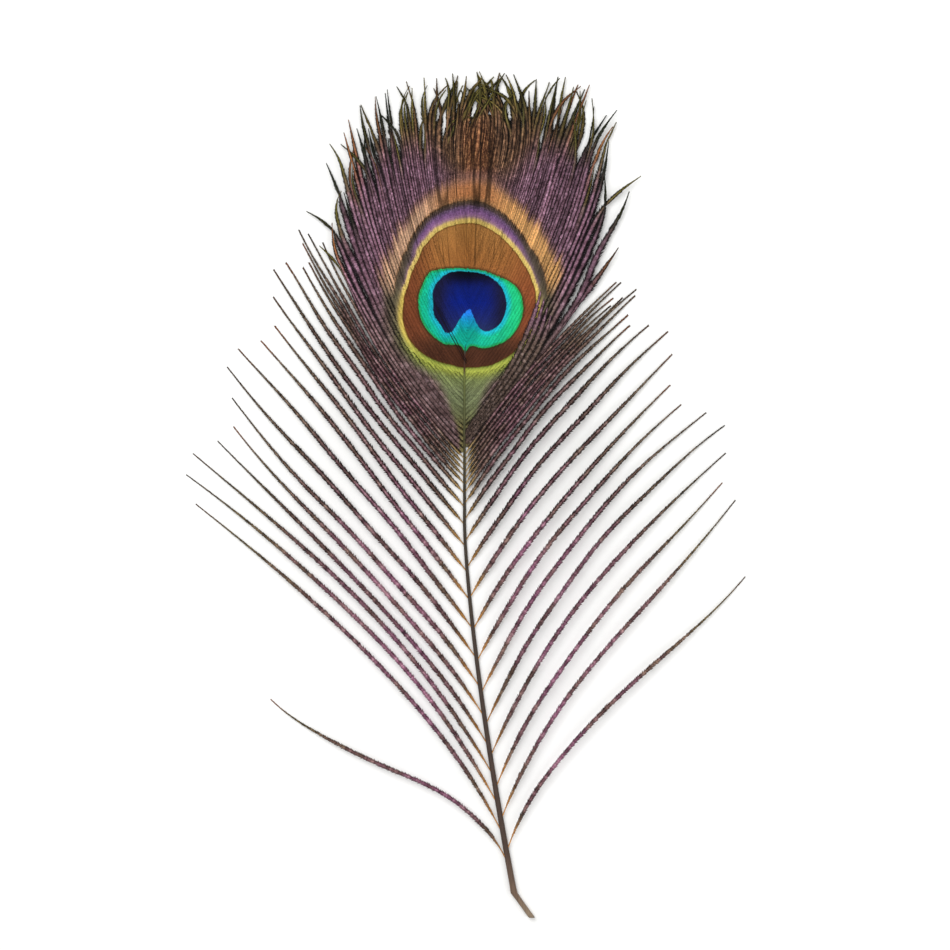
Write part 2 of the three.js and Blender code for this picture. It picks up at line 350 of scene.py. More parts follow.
def make_mesh(name, points, faces, uv, facts):
    """A mesh of triangles, with its bake map and the attributes that its material reads."""
    mesh = bpy.data.meshes.new(name)
    mesh.vertices.add(len(points))
    mesh.vertices.foreach_set("co", ((points + DATUM) / 1000).astype(np.float32).ravel())
    mesh.loops.add(faces.size)
    mesh.loops.foreach_set("vertex_index", faces.astype(np.int32).ravel())
    mesh.polygons.add(len(faces))
    mesh.polygons.foreach_set("loop_start", (3 * np.arange(len(faces))).astype(np.int32))
    mesh.polygons.foreach_set("loop_total", np.full(len(faces), 3, np.int32))
    layer = mesh.uv_layers.new(name="OFBake")
    layer.data.foreach_set("uv", uv[faces.ravel()].astype(np.float32).ravel())
    jitter = (facts[:, 2] * TONE_HASH % 1 - 0.5) * EDGE_JITTER
    eye = np.stack([signed_distance(points, o) + jitter for o in (DISC, PATCH, HEART)], axis=1)
    write_attribute(mesh, "strand", facts)
    write_attribute(mesh, "eye", eye)
    write_attribute(mesh, "zone", zones(points, eye[:, 0]))
    write_attribute(mesh, "place", points)
    mesh.update()
    mesh.validate()
    return mesh


def write_attribute(mesh, name, values):
    attribute = mesh.attributes.new(name, "FLOAT_VECTOR", "POINT")
    attribute.data.foreach_set("vector", values.astype(np.float32).ravel())


def rounded(outline, parts=6):
    """A closed Catmull-Rom curve through the outline's points."""
    p = np.array(outline)
    a, b, c, d = np.roll(p, 1, 0), p, np.roll(p, -1, 0), np.roll(p, -2, 0)
    t = (np.arange(parts) / parts)[None, :, None]
    a, b, c, d = (q[:, None, :] for q in (a, b, c, d))
    curve = 0.5 * (2 * b + (c - a) * t + (2 * a - 5 * b + 4 * c - d) * t**2
                   + (3 * b - a - 3 * c + d) * t**3)
    return curve.reshape(-1, 2)


def signed_distance(points, outline, far=60.0):
    """Distance from the outline in millimetres, below zero inside it."""
    result = np.full(len(points), far)
    near = np.flatnonzero(np.hypot(points[:, 0], points[:, 1]) < far)
    x, y = points[near, 0], points[near, 1]
    corners = rounded(outline)
    best = np.full(len(near), 1e9)
    inside = np.zeros(len(near), bool)
    for (ax, ay), (bx, by) in zip(corners, np.roll(corners, -1, 0)):
        dx, dy = bx - ax, by - ay
        t = np.clip(((x - ax) * dx + (y - ay) * dy) / (dx * dx + dy * dy), 0, 1)
        best = np.minimum(best, (x - ax - t * dx) ** 2 + (y - ay - t * dy) ** 2)
        if dy:
            inside ^= ((ay > y) != (by > y)) & (x < ax + (y - ay) * dx / dy)
    result[near] = np.sqrt(best) * np.where(inside, -1, 1)
    return result


def zones(points, disc):
    """Band number outside the disc, degrees from the top round the eye, and the green V's share."""
    x, y = points[:, 0], points[:, 1]
    turn = np.degrees(np.abs(np.arctan2(x - EYE_MIDDLE[0], y - EYE_MIDDLE[1])))
    yellow = 1.5 + 0.2 * smoothstep(turn, 40, 0)
    violet = BAND_LEAST + 4.1 * smoothstep(turn, 90, -5)
    dark = 1.75 + 0.9 * smoothstep(turn, 48, 66)
    dark = BAND_LEAST + dark * smoothstep(turn, 115, 80)
    gold = 2.7 + 2.4 * smoothstep(turn, 28, 3) + smoothstep(x, -3, 6)
    gold = BAND_LEAST + gold * smoothstep(turn, 95, 75)
    band, start = np.zeros(len(points)), np.zeros(len(points))
    for width in (yellow, violet, dark, gold):
        band += np.clip((disc - start) / width, 0, 1)
        start = start + width
    band += np.maximum(0, disc - start) / 10
    vee_half = np.maximum(0.62 * (y + 41), np.maximum(1.5, 1.2 + 0.37 * (y + 45)))
    vee = np.abs(x - axis_x(y)) / vee_half
    green = smoothstep(vee, 1.3, 0.7) * smoothstep(y, -12, -24)
    return np.stack([band, turn, green], axis=1)


def neighbour_gap(line, other):
    """How far each point of a line lies from another line."""
    gaps = np.linalg.norm(line[:, None, :2] - other[None, :, :2], axis=2)
    return gaps.min(axis=1)


def shaft_top(station):
    return 2 * shaft_half(station) * SHAFT_DEPTH


def vane_shares(side):
    """u of each barb, with roots further apart towards the foot."""
    stations = [TIP_STATION - 0.3]
    while True:
        gone = (TIP_STATION - stations[-1]) / (TIP_STATION - VANE_FOOT)
        below = stations[-1] - mix(ROOT_SPACING_TOP, ROOT_SPACING_FOOT, gone**2)
        if below < VANE_FOOT:
            break
        stations.append(below)
    gone = (TIP_STATION - np.array(stations)) / (TIP_STATION - VANE_FOOT)
    return 1 - (1 - gone) ** (1 / VANE_CROWDING)


def bridge_lines(side):
    """Barbs between the vane's outermost and the first loose one."""
    outer = vane_line(side, 1.0)
    loose = loose_line(side, 0, loose_stations(side))[0]
    count = int((VANE_FOOT - side["loose_top"]) / BRIDGE_SPACING)
    return [mix(outer, loose, (i + 1) / (count + 1)) for i in range(count)]


def ruffled(line, side, u, place):
    """A barb's free end wanders, ends early and curls, each one in its own way."""
    share = np.linspace(0, 1, len(line))
    phase = random.uniform(0, 2 * math.pi)
    sway = smoothstep(share, 0.4, 0.9) * np.sin(share * random.uniform(7, 14) + phase)
    line = line + np.stack([sway * random.normal(0, END_SWAY), 0 * sway], axis=1)
    short = 0.012 + abs(random.normal(0, END_SHORT)) * (place % 4 != 0)
    line = line[:int(len(line) * (1 - min(short, END_SHORT_MOST)))]
    in_tuft = math.sin(math.pi * min(1, 0.12 + u / TUFT_SHARE))
    tuft_turn = random.uniform(*TUFT_TURN[side["name"]]) * in_tuft
    line = curled(line, 0.6, -side["sign"] * tuft_turn)
    line = curled(line, random.uniform(0.5, 0.75), random.normal(0, CURL_SLIGHT))
    return curled(line, random.uniform(0.75, 0.9), random.normal(0, CURL_STRONG))


def sheet_height(x, y):
    """The vane's upper surface: over the shaft in the eye, and a low swell on either side."""
    away = np.abs(x - axis_x(y))
    swell = SWELL_HEIGHT * smoothstep(away, 0, SWELL_REACH) * smoothstep(y, 78, 30)
    return shaft_top(np.maximum(y, SHAFT_SHOWS)) + SHEET_CLEARANCE + swell


def vane_barb(strands, side, line, inner, outer, tone):
    """inner and outer are the neighbours' lines, on the shaft's side and away from it."""
    path, reached = even(line, RAMUS_STEP)
    share = reached / reached[-1]
    x, y = path.T
    beside = smoothstep(-path[0, 1], 13, 20) * (1 - smoothstep(reached, 0, 2.5))
    loft = random.uniform(-0.1, 0.22) * smoothstep(share, 0.35, 0.6)
    end = random.uniform(-0.5, 1.3) * smoothstep(share, 0.75, 1.0)
    z = mix(sheet_height(x, y), shaft_half(path[0, 1]) * SHAFT_DEPTH, beside) + loft + end
    path = np.concatenate([path, z[:, None]], axis=1)
    gaps = {1: neighbour_gap(path, outer), -1: neighbour_gap(path, inner)}
    free = smoothstep(signed_distance(path, DISC), 0.5, 6.0)
    half = mix(*VANE_RAMUS, share)

    def reach_towards(way):
        def reach(at, along):
            wide = mix(1.45, 1.35, np.interp(at, reached, free)) * np.interp(at, reached, gaps[way])
            full = np.clip(wide, BARBULE_LEAST, BARBULE_MOST)
            thinned = (1 - 0.6 * smoothstep(along, 0.75, 0.95)) * (1 - 0.7 * smoothstep(along, 0.9, 1))
            return full * thinned
        return reach

    def angle(at, along):
        return mix(46, 34, smoothstep(along, 0.4, 0.8)) + 10 * smoothstep(along, 0.85, 1)

    def lift_towards(way):
        return lambda at, along: way * 0.04 - 0.12 * np.interp(at, reached, free)

    blades = [
        dict(pitch=VANE_PITCH, sign=way * side["sign"], angle=angle, length=reach_towards(way),
             width=1.7, lift=lift_towards(way), wild=0.16)
        for way in (-1, 1)
    ]
    strands.barb(path, reached, half, half * RIDGE, blades, tone)


def stray_barb(strands, root, tip, root_angle, tip_angle, reach, tone):
    """A barb out of its place, lying over the others."""
    line = barb_line(1, root, tip, root_angle, tip_angle)
    path, reached = even(line, RAMUS_STEP)
    share = reached / reached[-1]
    height = sheet_height(*path.T) + STRAY_LIFT * smoothstep(reached, 0, 4)
    path = np.concatenate([path, height[:, None]], axis=1)
    half = mix(*STRAY_RAMUS, share)
    blades = [
        dict(pitch=VANE_PITCH, sign=sign, width=1.0, wild=0.25,
             angle=lambda at, along: STRAY_BARBULE_ANGLE + 0 * along,
             length=lambda at, along: reach * (1 - 0.7 * smoothstep(along, 0.84, 1)),
             lift=lambda at, along: 0 * along)
        for sign in (-1, 1)
    ]
    strands.barb(path, reached, half, half * RIDGE, blades, tone)


def vane_pieces(side):
    """Two pieces a side: the barbs of the eye's middle, and those that pass round it."""
    shares = vane_shares(side)
    lines = [vane_line(side, u) for u in shares] + bridge_lines(side)
    shares = np.concatenate([shares, np.ones(len(lines) - len(shares))])
    lines = [ruffled(line, side, u, k) for k, (line, u) in enumerate(zip(lines, shares))]
    axis = np.linspace(CUT_STATION, CROWN_Y, 400)
    axis = np.stack([axis_x(axis), axis], axis=1)
    first_outer = int(len(lines) * INNER_SHARE)
    for name, chosen in (("inner", range(first_outer)), ("outer", range(first_outer, len(lines)))):
        strays = STRAYS.get(f"{side['name']}_{name}", ())
        strands = Strands(len(chosen) + len(strays))
        for k in chosen:
            inner = lines[k - 1] if k else axis
            outer = lines[k + 1] if k + 1 < len(lines) else lines[k - 1]
            tone = random.uniform(*TUFT_TONE) if shares[k] < TUFT_SHARE else random.uniform(0, 1)
            vane_barb(strands, side, lines[k], inner, outer, tone)
        for stray in strays:
            stray_barb(strands, *stray)
        piece = new_object(strands.mesh(f"{side['name']}_vane_{name}"), vane_material)
        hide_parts(f"{side['name']}_vane")


def loose_barb(strands, side, index, stations):
    line, g = loose_line(side, index, stations)
    share = np.linspace(0, 1, len(line))
    waves, phase = random.uniform(6, 17), random.uniform(0, 6)
    sway = LOOSE_SWAY * smoothstep(share, 0, 0.3) * np.sin(share * waves + phase)
    line = line + np.stack([sway, -side["sign"] * sway], axis=1)
    path, reached = even(line, RAMUS_STEP)
    t = reached / reached[-1]
    full = LOOSE_HALF_FIRST + LOOSE_HALF_GROWTH * math.sqrt(g)
    half = LOOSE_ROOT_HALF + (full - LOOSE_ROOT_HALF) * smoothstep(t, 0, 0.15)
    half = half - (full - LOOSE_TIP_HALF) * smoothstep(t, 0.6, 1)
    arch = ARCH_SHARE * LOOSE_ARCH * 4 * t * (1 - t) * (1 - t / 2)
    root_height = shaft_half(stations[index]) * SHAFT_DEPTH
    z = root_height * (1 - t) + arch + half * LOOSE_FLATNESS * MIDDLE_SHARE
    path = np.concatenate([path, z[:, None]], axis=1)
    ramus = mix(*LOOSE_RAMUS, t)
    room = stations[max(0, index - 1)] - stations[index]
    roomy = 0.3 + 0.35 * max(0, room - CLOSE_SPACING)
    plump = PLUMPNESS * (1 + min(UPPER_PLUMPNESS * (1 - g) ** 1.5, roomy))

    def reach(at, along):
        bare = smoothstep(at, 0.3, mix(*BARE_ROOT, g))
        return np.interp(along, t, half) * plump * mix(BARE_REACH, 1, bare)

    blades = []
    for sign in (-1, 1):
        for lift, lean in LOOSE_ROWS:
            blades.append(dict(
                pitch=LOOSE_PITCH, sign=sign, length=reach, width=0.8, wild=0.25,
                angle=(lambda at, along, a=lean: a + 0 * along),
                lift=(lambda at, along, v=lift: v + 0 * along),
            ))
    strands.barb(path, reached, ramus, ramus * LOOSE_RIDGE, blades, random.uniform(0, 1))


def loose_piece(side):
    stations = loose_stations(side)
    strands = Strands(LOOSE_BARBS)
    for index in range(LOOSE_BARBS):
        loose_barb(strands, side, index, stations)
    piece = new_object(strands.mesh(f"{side['name']}_loose_barbs"), loose_material)
    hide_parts(*(f"{side['name']}_barb_{i + 1:02d}" for i in range(LOOSE_BARBS)))


def new_object(mesh, material):
    """The mesh as a piece of the feather, which has one body."""
    mesh.materials.append(material)
    piece = bpy.data.objects.new(mesh.name, mesh)
    bpy.context.scene.collection.objects.link(piece)
    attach(piece, "root")
    return piece


# Materials. A small vocabulary over Blender's nodes.
def linear(code):
    """A colour written as six hexadecimal digits, in linear light."""
    parts = [int(code[i:i + 2], 16) / 255 for i in (0, 2, 4)]
    return [p / 12.92 if p <= 0.04045 else ((p + 0.055) / 1.055) ** 2.4 for p in parts] + [1.0]


class Nodes:
    """A material and short names for the nodes it is made of. Values are sockets or numbers."""

    def __init__(self, name, roughness):
        self.material = bpy.data.materials.new(name)
        self.material.use_nodes = True
        self.tree = self.material.node_tree
        self.shader = next(n for n in self.tree.nodes if n.type == "BSDF_PRINCIPLED")
        self.shader.inputs["Roughness"].default_value = roughness
        self.shader.inputs["Specular IOR Level"].default_value = SPECULAR

    def new(self, kind, **values):
        node = self.tree.nodes.new(kind)
        for key, value in values.items():
            setattr(node, key, value)
        return node

    def link(self, value, socket):
        if isinstance(value, bpy.types.NodeSocket):
            self.tree.links.new(value, socket)
        elif value is not None:
            socket.default_value = value

    def attribute(self, name):
        source = self.new("ShaderNodeAttribute", attribute_type="GEOMETRY", attribute_name=name)
        split = self.new("ShaderNodeSeparateXYZ")
        self.link(source.outputs["Vector"], split.inputs[0])
        return split.outputs["X"], split.outputs["Y"], split.outputs["Z"]

    def math(self, operation, a, b=None):
        node = self.new("ShaderNodeMath", operation=operation)
        self.link(a, node.inputs[0])
        self.link(b, node.inputs[1])
        return node.outputs[0]

    def product(self, first, *others):
        for other in others:
            first = self.math("MULTIPLY", first, other)
        return first

    def away(self, value, middle):
        """How far the value is from a number."""
        return self.math("ABSOLUTE", self.math("SUBTRACT", value, middle))

    def span(self, value, low, high, to_low=0.0, to_high=1.0):
        """value carried from low..high to to_low..to_high, smoothly and clamped."""
        node = self.new("ShaderNodeMapRange", interpolation_type="SMOOTHSTEP")
        self.link(value, node.inputs["Value"])
        ends = {"From Min": low, "From Max": high, "To Min": to_low, "To Max": to_high}
        for key, number in ends.items():
            node.inputs[key].default_value = number
        return node.outputs["Result"]

    def ramp(self, value, low, high, stops):
        """Colours at places between low and high."""
        carried = self.new("ShaderNodeMapRange")
        self.link(value, carried.inputs["Value"])
        carried.inputs["From Min"].default_value = low
        carried.inputs["From Max"].default_value = high
        node = self.new("ShaderNodeValToRGB")
        self.link(carried.outputs["Result"], node.inputs["Fac"])
        elements = node.color_ramp.elements
        while len(elements) > 1:
            elements.remove(elements[-1])
        for i, (place, code) in enumerate(stops):
            position = (place - low) / (high - low)
            element = elements[0] if i == 0 else elements.new(position)
            element.position = position
            element.color = linear(code)
        return node.outputs["Color"]

    def blend(self, factor, a, b):
        """Colour a where the factor is 0 and b where it is 1. Inputs 6 and 7 are the colours."""
        node = self.new("ShaderNodeMix", data_type="RGBA")
        self.link(factor, node.inputs["Factor"])
        for value, key in ((a, 6), (b, 7)):
            self.link(linear(value) if isinstance(value, str) else value, node.inputs[key])
        return node.outputs[2]

    def shade(self, colour, value):
        """The colour multiplied by a number."""
        node = self.new("ShaderNodeVectorMath", operation="SCALE")
        self.link(colour, node.inputs[0])
        self.link(value, node.inputs["Scale"])
        return node.outputs[0]

    def dim(self, colour, weight, to):
        """The colour multiplied by 1 where weight is 0 and by another number where it is 1."""
        return self.shade(colour, self.span(weight, 0.0, 1.0, 1.0, to))

    def noise(self, x, y, scale, detail=2.0, roughness=0.5):
        where = self.new("ShaderNodeCombineXYZ")
        self.link(x, where.inputs[0])
        self.link(y, where.inputs[1])
        node = self.new("ShaderNodeTexNoise", noise_dimensions="2D")
        self.link(where.outputs[0], node.inputs["Vector"])
        node.inputs["Scale"].default_value = scale
        node.inputs["Detail"].default_value = detail
        node.inputs["Roughness"].default_value = roughness
        return node.outputs[0]

    def colour(self, value):
        self.link(value, self.shader.inputs["Base Color"])
        return self.material


class Barb:
    """What a material reads at a point of a barb, and the noises on it.

    share goes from the barb's root to its tip, and rib from the ramus to a barbule's tip. tone and
    hashed are random numbers that a whole barb has. x and y are millimetres from the eye's middle.
    """

    def __init__(self, n, length, slow):
        """length is a barb's usual one in millimetres, and slow the scale of its slow noise."""
        self.share, self.rib, self.tone = n.attribute("strand")
        self.x, self.y, _ = n.attribute("place")
        self.flank = n.math("ABSOLUTE", self.x)
        self.hashed = n.math("FRACT", n.math("MULTIPLY", self.tone, TONE_HASH))
        along = n.math("MULTIPLY", self.share, length)
        row = n.math("MULTIPLY", self.tone, NOISE_ROWS)
        self.speckle = n.noise(n.math("MULTIPLY", along, SPECKLE_SCALE), row, 1.0, 3.0, 0.7)
        self.slow = n.noise(n.math("MULTIPLY", along, slow), row, 1.0)
        self.fleck = n.noise(self.x, self.y, FLECK_SCALE, 2.0, 0.6)

    def speckled(self, n, *codes):
        """Three or four colours, from the barb's dark speckles to its light ones."""
        places = (0.3, 0.5, 0.7) if len(codes) == 3 else (0.3, 0.45, 0.58, 0.7)
        return n.ramp(self.speckle, 0.3, 0.7, zip(places, codes))


def eye_colours(n, barb, disc, patch, heart):
    """The bronze disc, the turquoise patch with its notch, and the blue heart."""
    x, y, flank = barb.x, barb.y, barb.flank
    bronze = n.ramp(y, -22, 26, [
        (-22, "4a2e1f"), (-15, "5c3a26"), (-6, "814629"), (4, "965830"), (13, "a26b37"), (24, "a2723c"),
    ])
    bronze = n.blend(n.span(flank, 8, 21, 0.0, 0.6), bronze, "824427")
    bronze = n.blend(n.span(x, -9, -20, 0.0, 0.5), bronze, "603420")
    bronze = n.blend(n.span(y, -10, -18), bronze, "4c2b1c")
    # A dark rim round the patch's outside: partly the feather's own dark edge, partly painted shadow
    # along the patch's edge.
    bronze = n.blend(n.span(patch, 1.1, 0.0, 0.0, 0.8), bronze, "262c16")
    bronze = n.blend(n.span(disc, -0.6, -0.1, 0.0, 0.65), bronze, "52300f")

    teal = n.ramp(x, -18, 18, [
        (-18, "12b688"), (-9, "10b096"), (0, "0aa892"), (9, "1abc8c"), (18, "22cc7e"),
    ])
    teal = n.blend(n.span(heart, 2.2, 0.2), teal, "1cb8cc")
    teal = n.blend(n.span(patch, -1.1, -0.1, 0.0, 0.85), teal, "22a04c")
    notch = n.ramp(y, -16, -2.5, [
        (-16, "12ac88"), (-10, "089c98"), (-6.5, "1490c0"), (-4, "2c8cf4"), (-2.5, "2a60dc"),
    ])
    in_notch = n.product(n.span(flank, 4.4, 2.2), n.span(y, -12.5, -8.5), n.span(y, 4.0, 1.0))
    teal = n.blend(in_notch, teal, notch)

    navy = n.ramp(y, -10.5, 9.5, [
        (-10.5, "24305a"), (-6, "1a266c"), (-1, "061f80"), (4, "0a1c6c"), (7, "070a2c"), (9.5, "040409"),
    ])
    navy = n.blend(n.span(flank, 4, 11), navy, "181838")
    eye = n.blend(n.span(patch, 0.12, -0.12), bronze, teal)
    return n.blend(n.span(heart, 0.15, -0.15), eye, navy)


def band_colours(n, barb, disc, band, turn):
    """The yellow ring with the bands round it, and how far a point is in the gold one."""
    bands = n.ramp(band, 0, 6, [
        (0, "94763a"), (0.14, "d6bc68"), (0.7, "d2b86c"), (0.9, "c4a678"), (1.1, "a07c8a"),
        (1.35, "8c648e"), (1.65, "7c5884"), (1.9, "6f5674"), (2.15, "5c484c"), (2.5, "584840"),
        (2.85, "604a36"), (3.1, "a87850"), (3.3, "b87d50"), (3.75, "b87e54"), (4.05, "a0745e"),
        (4.4, "84625e"), (6, "7c5a62"),
    ])
    bands = n.shade(bands, n.math("MAXIMUM", n.span(turn, 8, 25, 0.87, 1.0), n.span(band, 0.9, 1.2)))
    shaded = n.ramp(band, 1, 3, [
        (1, "8c745c"), (1.4, "6c5a54"), (2.0, "5a4f46"), (2.6, "504638"), (3, "6e5c48"),
    ])
    inward = n.product(n.span(band, 0.9, 1.15), n.span(band, 3.05, 2.85))
    bands = n.blend(n.product(inward, n.span(turn, 35, 66, 0.0, 0.85)), bands, shaded)
    gilded = n.product(n.span(band, 2.9, 3.2), n.span(band, 4.3, 3.8))
    gilt = n.ramp(barb.x, -16, 16, [(-16, "c09c80"), (-8, "c89870"), (8, "cc9a60"), (16, "d4a266")])
    gilt = n.shade(gilt, n.span(turn, 46, 84, 1.1, 0.92))
    bands = n.blend(n.product(gilded, n.span(turn, 5, 32, 0.0, 0.9)), bands, gilt)
    sides = n.ramp(disc, 0, 9, [
        (0, "8a682c"), (0.3, "d0b65c"), (1.0, "c4ac56"), (1.7, "8a7a50"), (2.4, "6a6048"),
        (3.6, "5a5240"), (5.0, "5c5242"), (6.5, "7c6c5c"), (9, "846e64"),
    ])
    return n.blend(n.span(turn, 78, 95), bands, sides), gilded


def outer_colours(n, barb, mauve, dun):
    """Beyond the bands: mauve, dun low on the flanks, brown in the crown, and the barbs' tips."""
    y = barb.y
    brown = barb.speckled(n, "402e24", "6a4e3b", "987256")
    flame = barb.speckled(n, "4a2e1e", "80543a", "b58055")
    flaming = n.product(n.span(n.away(barb.x, FLAME_X), 8, 2), n.span(y, 68, 50))
    brown = n.blend(flaming, brown, flame)
    tips = n.ramp(barb.tone, 0, 1, [
        (0, "232a20"), (0.3, "353826"), (0.45, "57522a"), (0.62, "6e652f"), (0.74, "553f2a"),
        (0.86, "825538"), (1, "9e6a3e"),
    ])
    outer = n.blend(n.span(y, 12, -18, 0.0, 0.7), mauve, dun)
    outer = n.shade(outer, n.span(y, -14, -32, 1.0, 0.84))
    beyond = n.span(n.away(barb.x, TUFT_X), 20, 6, 0.0, 12.0)
    outer = n.blend(n.span(n.math("ADD", y, beyond), 42, 58), outer, brown)
    return n.blend(n.span(barb.share, 0.74, 0.93), outer, tips)


def stray_colours(n, barb, mauve, dun):
    stray = n.blend(n.span(barb.y, -2, -16), mauve, n.shade(dun, 0.9))
    # Painted highlight along the ramus and painted shade towards the barbule tips.
    stray = n.shade(stray, n.span(barb.rib, 0.06, 0.7, 1.1, 0.1))
    stray = n.shade(stray, n.span(barb.fleck, 0.25, 0.75, 0.6, 1.4))
    stray = n.shade(stray, n.span(barb.y, -14, -30, 1.0, 0.72))
    dark = n.span(barb.tone, MAUVE_STRAY + 0.4, MAUVE_STRAY + 0.6)
    return n.blend(dark, stray, "1c1519")


def close_barbs(n, barb, colour):
    """Barbs that lie edge to edge, with painted shade towards their barbules' tips and a fine dark line
    of painted shade beside some of them.
    """
    colour = n.shade(colour, n.span(barb.fleck, 0.2, 0.8, 0.85, 1.15))
    # Painted shade towards the barbule tips.
    colour = n.shade(colour, n.span(barb.rib, 0.4, 1.0, 1.0, 0.8))
    # Painted shade in the gap beside some barbs.
    gap_shade = n.product(n.span(barb.hashed, 0.7, 0.74), n.span(barb.rib, 0.22, 0.55))
    return n.dim(colour, n.product(gap_shade, n.span(barb.y, 2, 10, 0.45, 1.0)), 0.42)


def parted_barbs(n, barb, colour, calm):
    """Barbs that show singly: painted highlight along the ramus, painted shade along their edges and in
    a dark line beside some of them, each in its own brightness.
    """
    # Painted highlight along the ramus and painted shade towards the barbule tips.
    colour = n.shade(colour, n.span(barb.rib, 0.04, 0.6, 1.1, 0.07))
    # Painted shade in the gap beside some barbs.
    gap_shade = n.product(n.span(barb.hashed, 0.66, 0.7), n.span(barb.rib, 0.1, 0.4))
    colour = n.dim(colour, gap_shade, 0.35)
    grainy = n.shade(colour, n.span(barb.fleck, 0.25, 0.75, 0.55, 1.4))
    smooth = n.shade(colour, n.span(barb.fleck, 0.25, 0.75, 0.88, 1.16))
    colour = n.blend(calm, grainy, smooth)
    colour = n.shade(colour, n.span(barb.tone, 0.0, 1.0, 0.75, 1.15))
    return n.shade(colour, n.span(barb.hashed, 0.0, 0.6, 0.68, 1.12))


def fan_noise(n, barb, across, along, detail=0.0):
    """Noise drawn out along the lines on which the eye's and the crown's barbs spread."""
    fan = n.math("DIVIDE", barb.x, n.math("ADD", n.math("MULTIPLY", barb.y, FAN_SPREAD), 1.0))
    return n.noise(n.math("MULTIPLY", fan, across), n.math("MULTIPLY", barb.y, along), 1.0, detail)


def crown_lines(n, barb, colour, disc, calm):
    """Painted shade in dark splits from the gold band up and in thin lines between barbs in the bronze,
    and clumps of barbs.
    """
    y, flank = barb.y, barb.flank
    # Painted shade in dark splits between clumps of barbs.
    split = n.span(n.away(fan_noise(n, barb, 0.55, 0.016), 0.5), 0.085, 0.015)
    split = n.product(split, n.span(y, 7, 12), n.span(flank, 15, 10))
    split = n.product(split, n.span(y, 27, 34, 0.1, 0.85), n.span(y, 66, 50))
    colour = n.dim(colour, split, 0.22)
    # Painted shade in thin lines between barbs in the bronze.
    hairline_shade = n.span(n.away(fan_noise(n, barb, 1.1, 0.012), 0.5), 0.05, 0.01)
    hairline_shade = n.product(hairline_shade, n.span(y, 9, 14), n.span(flank, 16, 9), n.span(disc, 4.5, 1.0))
    colour = n.dim(colour, hairline_shade, 0.5)
    clump = n.span(fan_noise(n, barb, 1.5, 0.02, 1.0), 0.3, 0.7, -0.42, 0.42)
    return n.shade(colour, n.math("ADD", n.product(calm, clump), 1.0))


def make_vane_material():
    n = Nodes("vane_barbs", roughness=0.5)
    barb = Barb(n, length=80.0, slow=0.12)
    disc, patch, heart = n.attribute("eye")
    band, turn, green = n.attribute("zone")
    ragged = n.product(n.span(band, 3.15, 4.0), n.math("MULTIPLY", barb.tone, -0.22))
    band = n.math("ADD", band, ragged)
    low = n.span(turn, 95, 150)
    mauve = barb.speckled(n, "5a3e4a", "7b5968", "916c7f", "b0879c")
    dun = barb.speckled(n, "4c3c34", "705c52", "98827a")
    streaks = barb.speckled(n, "4a3f34", "6c5e4c", "8e7e68")
    under = n.ramp(disc, 0, 20, [
        (0, "5e6428"), (0.6, "98a246"), (1.2, "a8b04c"), (2.2, "a2aa4c"), (3.2, "8c944e"),
        (4.5, "808a56"), (8, "7a825c"), (11, "747c58"), (16, "727550"), (20, "7c734a"),
    ])
    bands, gilded = band_colours(n, barb, disc, band, turn)
    outer = outer_colours(n, barb, mauve, dun)

    beside = n.product(n.span(turn, 66, 92), n.span(disc, 9.0, 2.5))
    around = n.blend(n.span(band, 3.9, 4.4), bands, n.blend(beside, outer, streaks))
    below = n.blend(n.span(disc, 2.0, 6.5), n.blend(low, bands, under), outer)
    around = n.blend(low, around, below)
    around = n.blend(green, around, under)
    whole = n.blend(n.span(disc, -0.15, 0.15), eye_colours(n, barb, disc, patch, heart), around)
    whole = n.shade(whole, n.span(barb.slow, 0.2, 0.8, 0.8, 1.2))

    parted = n.math("MAXIMUM", n.span(disc, 1.5, 6.0), n.span(band, 2.7, 3.3))
    parted = n.math("MAXIMUM", parted, n.product(low, n.span(disc, 2.4, 6.0)))
    parted = n.product(parted, n.span(n.product(gilded, n.span(turn, 88, 50)), 0.0, 1.0, 1.0, 0.62))
    parted = n.product(parted, n.span(n.product(green, n.span(barb.y, -42, -36)), 0.0, 1.0, 1.0, 0.5))
    calm = n.product(n.span(barb.y, 38, 48), n.span(n.away(barb.x, TUFT_X), 22, 12))
    # Both kinds of barbs carry painted shade between them; barbs that show singly carry the deeper one.
    whole = n.blend(parted, close_barbs(n, barb, whole), parted_barbs(n, barb, whole, calm))
    whole = crown_lines(n, barb, whole, disc, calm)
    is_stray = n.span(barb.tone, 1.4, 1.6)
    return n.colour(n.blend(is_stray, whole, stray_colours(n, barb, mauve, dun)))


